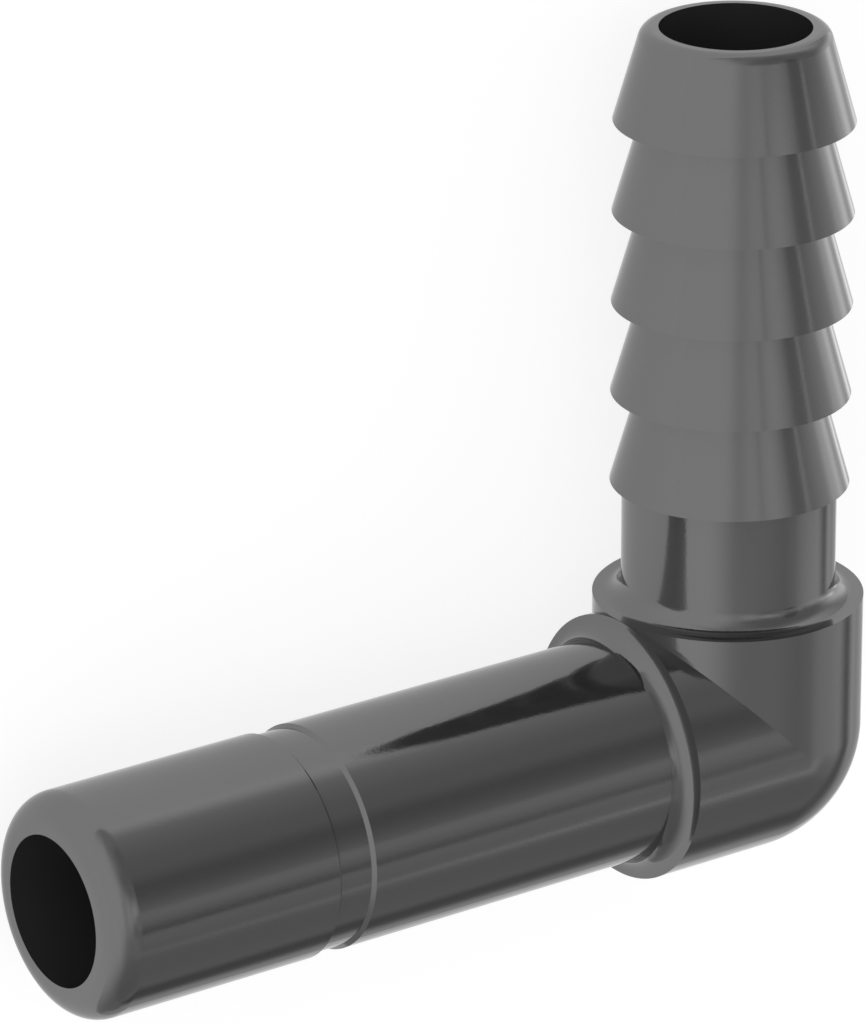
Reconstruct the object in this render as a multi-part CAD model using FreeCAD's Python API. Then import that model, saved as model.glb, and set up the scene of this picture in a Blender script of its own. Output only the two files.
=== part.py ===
import FreeCAD, Part
import math
import os
from FreeCAD import Vector

# A right-angle plastic elbow, moulded in one piece. One leg is a plain stem of tube size,
# which plugs into a push-to-connect port. The other is a barbed tail for soft hose.
# Origin: where the axes of the two legs cross. The stem points along -X, the barbed tail
# along +Y, and +Z is square to both, so the elbow lies on its side. Millimetres.

# Body: two equal round legs that meet in a mitre, with a ball-shaped outer corner. The flat
# shoulders stand just clear of the mitre, so the crotch ends in a short step, not in a point.
body_diameter = 11.46
crotch_step = 0.02
root_fillet = 0.8

# Bore: one diameter through both legs
bore_diameter = 6.35

# Stem: three-eighths inch tube size, with a rounded nose and a shallow gripping groove
stem_diameter = 9.525
stem_length = 28.24
stem_nose_radius = 1.25
groove_from_nose = 10.73
groove_width = 1.78
groove_depth = 0.1524

# Barbed tail: a plain neck and then equal saw-tooth barbs, each with a flat back
neck_diameter = 9.05
neck_length = 5.1
barb_count = 5
barb_pitch = 3.97
barb_edge_diameter = 10.07
barb_root_diameter = 7.8
tail_tip_radius = 0.6

body_radius = body_diameter / 2
bore_radius = bore_diameter / 2

# Distances from the crossing of the axes, along each leg
shoulder = body_radius + crotch_step
stem_end = shoulder + stem_length
tail_end = shoulder + neck_length + barb_count * barb_pitch

# Each leg's direction, and the side of it that faces away from the other leg
STEM = (Vector(-1, 0, 0), Vector(0, -1, 0))
TAIL = (Vector(0, 1, 0), Vector(1, 0, 0))


def corner_arc(before, corner, after, radius):
    """The arc of one rounded corner of an outline, tangent to both of its sides."""
    to_before = (before - corner).normalize()
    to_after = (after - corner).normalize()
    half_angle = to_before.getAngle(to_after) / 2
    setback = radius / math.tan(half_angle)
    bisector = (to_before + to_after).normalize()
    middle = corner + bisector * (radius / math.sin(half_angle) - radius)
    return Part.Arc(corner + to_before * setback, middle, corner + to_after * setback)


def turned(outline, leg):
    """Revolve an outline about a leg's axis. Each corner is (distance along, radius, rounding)."""
    direction, outward = leg
    closed = [(0, 0, 0)] + outline + [(outline[-1][0], 0, 0)]
    corners = [direction * along + outward * radius for along, radius, rounding in closed]

    edges = []
    position = corners[0]
    for i in range(1, len(corners)):
        rounding = closed[i][2]
        if rounding > 0:
            arc = corner_arc(corners[i - 1], corners[i], corners[i + 1], rounding)
            edges.append(Part.LineSegment(position, arc.StartPoint).toShape())
            edges.append(arc.toShape())
            position = arc.EndPoint
        else:
            edges.append(Part.LineSegment(position, corners[i]).toShape())
            position = corners[i]
    edges.append(Part.LineSegment(position, corners[0]).toShape())

    return Part.Face(Part.Wire(edges)).revolve(Vector(0, 0, 0), direction, 360)


def stem_outline():
    """Body leg, shoulder, and the plug-in stem with its groove and rounded nose."""
    stem_radius = stem_diameter / 2
    groove_front = stem_end - groove_from_nose
    groove_back = groove_front - groove_width
    groove_radius = stem_radius - groove_depth
    return [
        (0, body_radius, 0),
        (shoulder, body_radius, 0),
        (shoulder, stem_radius, root_fillet),
        (groove_back, stem_radius, 0),
        (groove_back + groove_depth, groove_radius, 0),
        (groove_front - groove_depth, groove_radius, 0),
        (groove_front, stem_radius, 0),
        (stem_end, stem_radius, stem_nose_radius),
    ]


def tail_outline():
    """Body leg, shoulder, neck, and a row of barbs that each narrow towards the tip."""
    outline = [
        (0, body_radius, 0),
        (shoulder, body_radius, 0),
        (shoulder, neck_diameter / 2, root_fillet),
        (shoulder + neck_length, neck_diameter / 2, 0),
    ]
    for barb in range(barb_count):
        back = shoulder + neck_length + barb * barb_pitch
        rounding = tail_tip_radius if barb == barb_count - 1 else 0
        outline.append((back, barb_edge_diameter / 2, 0))
        outline.append((back + barb_pitch, barb_root_diameter / 2, rounding))
    return outline


def round_corner(radius, stem_side, tail_side):
    """Two turned legs joined by a ball of their own radius at the crossing."""
    return turned(stem_side, STEM).multiFuse([turned(tail_side, TAIL), Part.makeSphere(radius)])


def elbow():
    """The one moulded piece: the outside, less the bore that turns the corner inside it."""
    outside = round_corner(body_radius, stem_outline(), tail_outline())
    bore = round_corner(
        bore_radius,
        [(0, bore_radius, 0), (stem_end, bore_radius, 0)],
        [(0, bore_radius, 0), (tail_end, bore_radius, 0)],
    )
    return outside.cut(bore).removeSplitter()


os.makedirs("parts", exist_ok=True)
elbow().exportStep("parts/elbow.step")
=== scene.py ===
import math
import bmesh
import bpy
from mathutils import Matrix, Vector


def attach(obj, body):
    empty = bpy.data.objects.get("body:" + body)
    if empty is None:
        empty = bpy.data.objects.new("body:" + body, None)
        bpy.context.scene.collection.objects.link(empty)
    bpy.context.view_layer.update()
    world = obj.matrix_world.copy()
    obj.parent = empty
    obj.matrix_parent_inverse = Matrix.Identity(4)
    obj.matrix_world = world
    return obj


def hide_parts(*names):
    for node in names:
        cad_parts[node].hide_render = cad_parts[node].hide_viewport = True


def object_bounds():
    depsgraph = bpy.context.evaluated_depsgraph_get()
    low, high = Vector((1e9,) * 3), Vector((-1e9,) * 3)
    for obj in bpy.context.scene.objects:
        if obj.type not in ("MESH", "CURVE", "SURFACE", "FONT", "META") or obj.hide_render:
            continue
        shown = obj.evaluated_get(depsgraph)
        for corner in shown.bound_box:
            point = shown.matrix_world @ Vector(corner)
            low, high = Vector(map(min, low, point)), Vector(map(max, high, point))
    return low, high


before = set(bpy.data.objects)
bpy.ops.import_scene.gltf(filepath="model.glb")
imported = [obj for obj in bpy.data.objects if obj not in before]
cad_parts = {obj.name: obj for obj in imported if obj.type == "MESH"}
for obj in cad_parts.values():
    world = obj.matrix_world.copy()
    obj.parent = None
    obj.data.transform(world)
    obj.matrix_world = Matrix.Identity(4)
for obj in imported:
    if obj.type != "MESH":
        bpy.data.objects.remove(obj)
cad_box = [list(corner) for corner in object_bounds()]

# The elbow: one moulding of smooth, glossy dark grey plastic. A plain stem with a rounded nose and
# a gripping groove runs along -X, a barbed tail along +Y, and both grow out of a mitred body whose
# outer corner is a ball. It is built of rings of points round each leg, which are welded later.
body_radius = 0.00573
shoulder = 0.00575
root_fillet = 0.0008
stem_radius = 0.0047625
stem_end = 0.03399
nose_rounding = 0.00125
groove_front = 0.02326
groove_back = 0.02148
groove_depth = 0.0001524
neck_radius = 0.004525
neck_end = 0.01085
bore_radius = 0.003175

sides = 256
arc_steps = 10
corner_slices = 48

# Its grey is mostly the soft room mirrored in the gloss, and it goes nearly black where the
# fitting mirrors itself. The skin keeps three faint marks of the mould: patches that shine a
# little less, the grain of the polish, and a slight waviness where the wall shrank.
plastic_grey = (0.18, 0.18, 0.18, 1)
edge_tint = (0.8, 0.8, 0.8, 1)
mirror_share = 0.8
glossiest = 0.06
dullest = 0.12
gloss_patch = 0.0005
noise_low, noise_high = 0.3, 0.7
polish_grain = 0.00009
grain_height = 2.0e-6
shrink_wave = 0.005
shrink_height = 2.0e-6

plastic = bpy.data.materials.new("moulded_grey_plastic")
plastic.use_nodes = True
skin_nodes = plastic.node_tree
shader = skin_nodes.nodes["Principled BSDF"]
shader.inputs["Base Color"].default_value = plastic_grey
shader.inputs["Metallic"].default_value = mirror_share
shader.inputs["Specular Tint"].default_value = edge_tint
place = skin_nodes.nodes.new("ShaderNodeTexCoord")


def skin_pattern(size, detail):
    """A noise with patches of about this size, laid on in the object's own coordinates."""
    pattern = skin_nodes.nodes.new("ShaderNodeTexNoise")
    pattern.inputs["Scale"].default_value = 1 / size
    pattern.inputs["Detail"].default_value = detail
    skin_nodes.links.new(place.outputs["Object"], pattern.inputs["Vector"])
    return pattern.outputs["Fac"]


gloss = skin_nodes.nodes.new("ShaderNodeMapRange")
gloss.inputs["From Min"].default_value = noise_low
gloss.inputs["From Max"].default_value = noise_high
gloss.inputs["To Min"].default_value = glossiest
gloss.inputs["To Max"].default_value = dullest
skin_nodes.links.new(skin_pattern(gloss_patch, 3), gloss.inputs["Value"])
skin_nodes.links.new(gloss.outputs["Result"], shader.inputs["Roughness"])

shrinkage = skin_nodes.nodes.new("ShaderNodeBump")
shrinkage.inputs["Distance"].default_value = shrink_height
skin_nodes.links.new(skin_pattern(shrink_wave, 0), shrinkage.inputs["Height"])
polish = skin_nodes.nodes.new("ShaderNodeBump")
polish.inputs["Distance"].default_value = grain_height
skin_nodes.links.new(skin_pattern(polish_grain, 1), polish.inputs["Height"])
skin_nodes.links.new(shrinkage.outputs["Normal"], polish.inputs["Normal"])
skin_nodes.links.new(polish.outputs["Normal"], shader.inputs["Normal"])

moulding = bmesh.new()
stem_leg = (Vector((-1, 0, 0)), Vector((0, 1, 0)))
tail_leg = (Vector((0, 1, 0)), Vector((-1, 0, 0)))
square_to_both = Vector((0, 0, 1))


def ring(leg, radius, along, mitre=0):
    """Points round a leg's axis, square to it, or slanted as the mitre is on the side that faces
    the other leg."""
    direction, crotch_side = leg
    points = []
    for i in range(sides):
        angle = math.tau * i / sides
        spoke = crotch_side * math.cos(angle) + square_to_both * math.sin(angle)
        reach = along + mitre * max(0, radius * math.cos(angle))
        points.append(moulding.verts.new(direction * reach + spoke * radius))
    return points


def bands(rings):
    """Faces from each ring to the next."""
    for first, second in zip(rings, rings[1:]):
        for i in range(sides):
            j = (i + 1) % sides
            moulding.faces.new((first[i], first[j], second[j], second[i]))


def turn(leg, outline):
    """The turned wall of an outline given as (distance along the leg, radius)."""
    bands([ring(leg, radius, along) for along, radius in outline])


def rounding(centre, radius, start, end):
    """An arc of an outline, between two angles from the leg's own direction."""
    angles = [math.radians(start + (end - start) * i / arc_steps) for i in range(arc_steps + 1)]
    return [(centre[0] + radius * math.cos(a), centre[1] + radius * math.sin(a)) for a in angles]


def mitred_leg(leg, radius, end):
    """A leg's round wall. It starts at the mitre towards the other leg, and at the ball away from
    it, and has a ring close to each end, so that the gloss runs straight between them."""
    shares = (0, 0.04, 0.5, 0.96, 1)
    bands([ring(leg, radius, end * share, 1 - share) for share in shares])


def ball_corner(radius):
    """The quarter of a ball that joins the two legs' walls round the outside of the corner."""
    columns = []
    for i in range(corner_slices + 1):
        bend = math.pi / 2 * i / corner_slices
        column = []
        for k in range(sides // 2 + 1):
            lift = math.pi / 2 - math.tau * k / sides
            reach = radius * math.cos(lift)
            spot = (reach * math.sin(bend), -reach * math.cos(bend), radius * math.sin(lift))
            column.append(moulding.verts.new(spot))
        columns.append(column)
    for first, second in zip(columns, columns[1:]):
        for k in range(sides // 2):
            moulding.faces.new((first[k], second[k], second[k + 1], first[k + 1]))


mitred_leg(stem_leg, body_radius, shoulder)
mitred_leg(tail_leg, body_radius, shoulder)
ball_corner(body_radius)

fillet_middle = shoulder + root_fillet
stem_outline = [(shoulder, body_radius)]
stem_outline += rounding((fillet_middle, stem_radius + root_fillet), root_fillet, 180, 270)
stem_outline += [
    (groove_back, stem_radius),
    (groove_back + groove_depth, stem_radius - groove_depth),
    (groove_front - groove_depth, stem_radius - groove_depth),
    (groove_front, stem_radius),
]
nose_middle = (stem_end - nose_rounding, stem_radius - nose_rounding)
stem_outline += rounding(nose_middle, nose_rounding, 90, 0)
stem_outline += [(stem_end, bore_radius)]
turn(stem_leg, stem_outline)

# The barbs: five equal saw teeth moulded on the tail. Each slopes down towards the tip, so that
# soft hose slides on, and has a flat back and a sharp edge that hold it. Geometry Nodes repeat
# one slope and one flat back along the tail, and the last slope runs into a rounded tip.
barb_count = 5
barb_pitch = 0.00397
barb_edge_radius = 0.005035
barb_root_radius = 0.0039
tip_rounding = 0.0006
tail_end = neck_end + barb_count * barb_pitch

neck_outline = [(shoulder, body_radius)]
neck_outline += rounding((fillet_middle, neck_radius + root_fillet), root_fillet, 180, 270)
neck_outline += [(neck_end, neck_radius), (neck_end, barb_edge_radius)]
turn(tail_leg, neck_outline)

barb_row = bpy.data.node_groups.new("barb_row", "GeometryNodeTree")
inputs = {}
for label, kind in (
    ("Barbs", "NodeSocketInt"),
    ("Pitch", "NodeSocketFloat"),
    ("Edge radius", "NodeSocketFloat"),
    ("Root radius", "NodeSocketFloat"),
    ("Sides", "NodeSocketInt"),
    ("First edge", "NodeSocketVector"),
    ("Finish", "NodeSocketMaterial"),
):
    socket = barb_row.interface.new_socket(label, in_out="INPUT", socket_type=kind)
    inputs[label] = socket.identifier
barb_row.interface.new_socket("Barbs", in_out="OUTPUT", socket_type="NodeSocketGeometry")
sizes = barb_row.nodes.new("NodeGroupInput").outputs
join = barb_row.nodes.new("GeometryNodeJoinGeometry")


def link(source, target):
    """Joins two nodes of the barbs' tree."""
    barb_row.links.new(source, target)


pitch_step = barb_row.nodes.new("ShaderNodeCombineXYZ")
link(sizes["Pitch"], pitch_step.inputs["Z"])
backs = barb_row.nodes.new("ShaderNodeMath")
backs.operation = "SUBTRACT"
link(sizes["Barbs"], backs.inputs[0])
backs.inputs[1].default_value = 1

# A slope runs on from each edge, and a flat back closes the foot of each slope but the last
for count, depth, start in (
    (sizes["Barbs"], sizes["Pitch"], None),
    (backs.outputs[0], None, pitch_step.outputs[0]),
):
    surface = barb_row.nodes.new("GeometryNodeMeshCone")
    surface.fill_type = "NONE"
    link(sizes["Sides"], surface.inputs["Vertices"])
    link(sizes["Root radius"], surface.inputs["Radius Top"])
    link(sizes["Edge radius"], surface.inputs["Radius Bottom"])
    row = barb_row.nodes.new("GeometryNodeMeshLine")
    link(count, row.inputs["Count"])
    link(pitch_step.outputs[0], row.inputs["Offset"])
    if depth:
        link(depth, surface.inputs["Depth"])
    else:
        surface.inputs["Depth"].default_value = 0
    if start:
        link(start, row.inputs["Start Location"])
    repeat = barb_row.nodes.new("GeometryNodeInstanceOnPoints")
    link(row.outputs["Mesh"], repeat.inputs["Points"])
    link(surface.outputs["Mesh"], repeat.inputs["Instance"])
    link(repeat.outputs["Instances"], join.inputs["Geometry"])

on_tail = barb_row.nodes.new("GeometryNodeTransform")
on_tail.inputs["Rotation"].default_value = (-math.pi / 2, 0, 0)
link(join.outputs["Geometry"], on_tail.inputs["Geometry"])
link(sizes["First edge"], on_tail.inputs["Translation"])
realize = barb_row.nodes.new("GeometryNodeRealizeInstances")
link(on_tail.outputs["Geometry"], realize.inputs["Geometry"])
set_finish = barb_row.nodes.new("GeometryNodeSetMaterial")
link(realize.outputs["Geometry"], set_finish.inputs["Geometry"])
link(sizes["Finish"], set_finish.inputs["Material"])
link(set_finish.outputs["Geometry"], barb_row.nodes.new("NodeGroupOutput").inputs["Barbs"])

barbs = bpy.data.objects.new("barbs", bpy.data.meshes.new("barbs"))
bpy.context.scene.collection.objects.link(barbs)
repeater = barbs.modifiers.new("barb_row", "NODES")
repeater.node_group = barb_row
repeater[inputs["Barbs"]] = barb_count
repeater[inputs["Pitch"]] = barb_pitch
repeater[inputs["Edge radius"]] = barb_edge_radius
repeater[inputs["Root radius"]] = barb_root_radius
repeater[inputs["Sides"]] = sides
repeater[inputs["First edge"]] = (0, neck_end, 0)
repeater[inputs["Finish"]] = plastic
evaluated = barbs.evaluated_get(bpy.context.evaluated_depsgraph_get())
moulding.from_mesh(bpy.data.meshes.new_from_object(evaluated))
bpy.data.objects.remove(barbs)

# The last slope is cut back to where the tip's rounding starts
slope_angle = math.atan((barb_edge_radius - barb_root_radius) / barb_pitch)
tip_middle = (
    tail_end - tip_rounding,
    barb_root_radius + tip_rounding * math.tan(slope_angle) - tip_rounding / math.cos(slope_angle),
)
tip_outline = rounding(tip_middle, tip_rounding, 90 - math.degrees(slope_angle), 0)
at_tip = 1e-6
for point in moulding.verts:
    if abs(point.co.y - tail_end) < at_tip:
        spoke = Vector((point.co.x, 0, point.co.z)).normalized()
        point.co = tail_leg[0] * tip_outline[0][0] + spoke * tip_outline[0][1]
turn(tail_leg, tip_outline + [(tail_end, bore_radius)])

# The bore: the straight holes that two core pins leave, which meet in a ball-shaped corner. The
# whole skin is then welded into one closed surface, with crisp edges where the mould has them
# and all along the mitre, which fades out towards the ball.
mitred_leg(stem_leg, bore_radius, stem_end)
mitred_leg(tail_leg, bore_radius, tail_end)
ball_corner(bore_radius)

weld = 1e-7
bmesh.ops.remove_doubles(moulding, verts=moulding.verts, dist=weld)
bmesh.ops.recalc_face_normals(moulding, faces=moulding.faces)

crisp_angle = math.radians(30)
for edge in moulding.edges:
    on_mitre = all(abs(v.co.x + v.co.y) < weld and v.co.x < weld for v in edge.verts)
    edge.smooth = not on_mitre and edge.calc_face_angle(0) < crisp_angle
for face in moulding.faces:
    face.smooth = True

elbow_mesh = bpy.data.meshes.new("elbow_moulding")
moulding.to_mesh(elbow_mesh)
moulding.free()
elbow_mesh.materials.clear()
elbow_mesh.materials.append(plastic)
elbow = bpy.data.objects.new("elbow_moulding", elbow_mesh)
bpy.context.scene.collection.objects.link(elbow)
even_gloss = elbow.modifiers.new("even_gloss", "WEIGHTED_NORMAL")
even_gloss.keep_sharp = True
even_gloss.weight = 100

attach(elbow, "root")
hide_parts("elbow")

# The floor: a plain, pale and matt table mat, on which the elbow lies on its side. It looks white
# to the camera and in the gloss, but for the elbow's own soft shadow.
mat_corners = ((-0.3, -0.022), (0.016, -0.022), (0.016, 0.3), (-0.3, 0.3))
mat_grey = (0.35, 0.35, 0.35, 1)
mat_glow = 0.82

floor_mesh = bpy.data.meshes.new("floor")
floor_mesh.from_pydata([(x, y, cad_box[0][2]) for x, y in mat_corners], [], [(0, 1, 2, 3)])
floor = bpy.data.objects.new("floor", floor_mesh)
bpy.context.scene.collection.objects.link(floor)

floor_paint = bpy.data.materials.new("floor_paint")
floor_paint.use_nodes = True
paint = floor_paint.node_tree
matt = paint.nodes["Principled BSDF"]
matt.inputs["Base Color"].default_value = mat_grey
matt.inputs["Roughness"].default_value = 1
matt.inputs["Specular IOR Level"].default_value = 0
matt.inputs["Emission Color"].default_value = (1, 1, 1, 1)
rays = paint.nodes.new("ShaderNodeLightPath")
glow = 0
for kind in ("Is Camera Ray", "Is Glossy Ray", "Is Transmission Ray"):
    share = paint.nodes.new("ShaderNodeMath")
    share.operation = "MULTIPLY_ADD"
    paint.links.new(rays.outputs[kind], share.inputs[0])
    share.inputs[1].default_value = mat_glow
    if glow:
        paint.links.new(glow, share.inputs[2])
    else:
        share.inputs[2].default_value = 0
    glow = share.outputs[0]
paint.links.new(glow, matt.inputs["Emission Strength"])
floor_mesh.materials.append(floor_paint)

# The light: a plain grey studio room with soft panels of light and shade on its walls. Each is
# placed by two angles in degrees: its turn round the tail's axis, from straight above towards +X,
# and its height towards the tail's tip. The large soft box stands beyond the stem's nose.
room_grey = 0.38
panels = (
    # name, turn, height, half sizes inside the soft edge, half sizes outside it, brightness
    ("ceiling", -24, 72, (89, 20), (102, 35), 0.52),
    ("large_box_spill", -74, 11, (27, 7), (65, 67), 0.99),
    ("large_soft_box", -123, 9, (59, 39), (93, 89), 1.01),
    ("low_wall", 31, -27, (30, 7), (88, 14), 0.49),
    ("low_strip", 38, -29, (7, 0), (20, 8), 1.09),
    ("front_soft_box", -16, 5, (2, 1), (19, 31), 0.86),
    ("front_box_end", 5, 7, (0, 0), (29, 18), 0.92),
    ("gap_between_boxes", -6, 13, (0, 0), (4, 7), 0.63),
    ("front_reflector", 27, -4, (18, 6), (20, 8), 0.52),
    ("dark_corner", 32, 23, (4, 1), (11, 25), 0.19),
    ("dark_flag", 32, -21, (2, 1), (11, 22), 0.06),
    ("low_reflector", 30, -24, (1, 6), (31, 9), 0.40),
    ("strip_light", 42, 4, (0, 5), (4, 6), 0.71),
    ("right_wall", 114, -5, (16, 7), (51, 35), 1.68),
    ("far_soft_box", 132, 57, (35, 5), (70, 49), 1.06),
    ("right_reflector", 93, -11, (25, 0), (72, 23), 1.09),
    ("corner_spill", 84, -6, (4, 0), (16, 9), 1.49),
    ("corner_soft_box", 94, -4, (0, 2), (12, 7), 2.18),
    ("corner_strip", 116, -32, (1, 18), (12, 23), 2.22),
    ("low_far_wall", 140, -45, (33, 28), (50, 31), 0.67),
    ("dark_gap", 94, -67, (7, 0), (25, 36), 0.13),
    ("dark_slot", 86, -31, (0, 5), (15, 27), 0.23),
    ("upper_wall", 23, 49, (8, 10), (54, 27), 0.33),
    ("lower_wall", -12, -83, (35, 6), (93, 63), 0.30),
)

room = bpy.data.worlds.new("room")
room.use_nodes = True
walls = room.node_tree


def wall_node(kind, *values, **settings):
    """A node of the room's shader, with its inputs linked or set in order."""
    node = walls.nodes.new(kind)
    for name, setting in settings.items():
        setattr(node, name, setting)
    for socket, value in zip(node.inputs, values):
        if isinstance(value, bpy.types.NodeSocket):
            walls.links.new(value, socket)
        else:
            socket.default_value = value
    return node.outputs[0]


def wall_sum(operation, *values):
    """One step of arithmetic in the room's shader."""
    return wall_node("ShaderNodeMath", *values, operation=operation)


direction = walls.nodes.new("ShaderNodeSeparateXYZ")
walls.links.new(walls.nodes.new("ShaderNodeTexCoord").outputs["Generated"], direction.inputs[0])
x, y, z = direction.outputs
angles = (
    wall_sum("DEGREES", wall_sum("ARCTAN2", x, z)),
    wall_sum("DEGREES", wall_sum("ARCSINE", y)),
)
brightness = room_grey
for name, turned, height, inside, outside, own in panels:
    shares = []
    for angle, middle, inner, outer in zip(angles, (turned, height), inside, outside):
        off = wall_sum("ABSOLUTE", wall_sum("SUBTRACT", angle, middle))
        edge = (off, inner, outer, 1.0, 0.0)
        shares.append(wall_node("ShaderNodeMapRange", *edge, interpolation_type="SMOOTHSTEP"))
    cover = wall_sum("MULTIPLY", *shares)
    change = wall_sum("SUBTRACT", own, brightness)
    brightness = wall_sum("MULTIPLY_ADD", cover, change, brightness)
    brightness.node.label = name
walls.links.new(brightness, walls.nodes["Background"].inputs["Strength"])
walls.nodes["Background"].inputs["Color"].default_value = (1, 1, 1, 1)
bpy.context.scene.world = room

# The camera: it looks down on the lying elbow from the photograph's side. Its angles are those
# towards the elbow set up with the tail upright, and the whole is then tipped over with it.
azimuth = math.radians(-35.471)
elevation = math.radians(21.676)
roll = math.radians(-0.109)
sidestep, lift, distance = -0.012479, 0.008682, 0.306005

camera_data = bpy.data.cameras.new("camera")
camera_data.sensor_width = 36
camera_data.lens = 253.39
camera_data.clip_start = 0.01
camera_data.clip_end = 10
camera = bpy.data.objects.new("camera", camera_data)
bpy.context.scene.collection.objects.link(camera)
camera.matrix_world = (
    Matrix.Rotation(-math.pi / 2, 4, "X")
    @ Matrix.Rotation(azimuth, 4, "Z")
    @ Matrix.Rotation(math.pi / 2 - elevation, 4, "X")
    @ Matrix.Rotation(roll, 4, "Z")
    @ Matrix.Translation((sidestep, lift, distance))
)
bpy.context.scene.camera = camera

bpy.context.scene.view_settings.view_transform = "Standard"
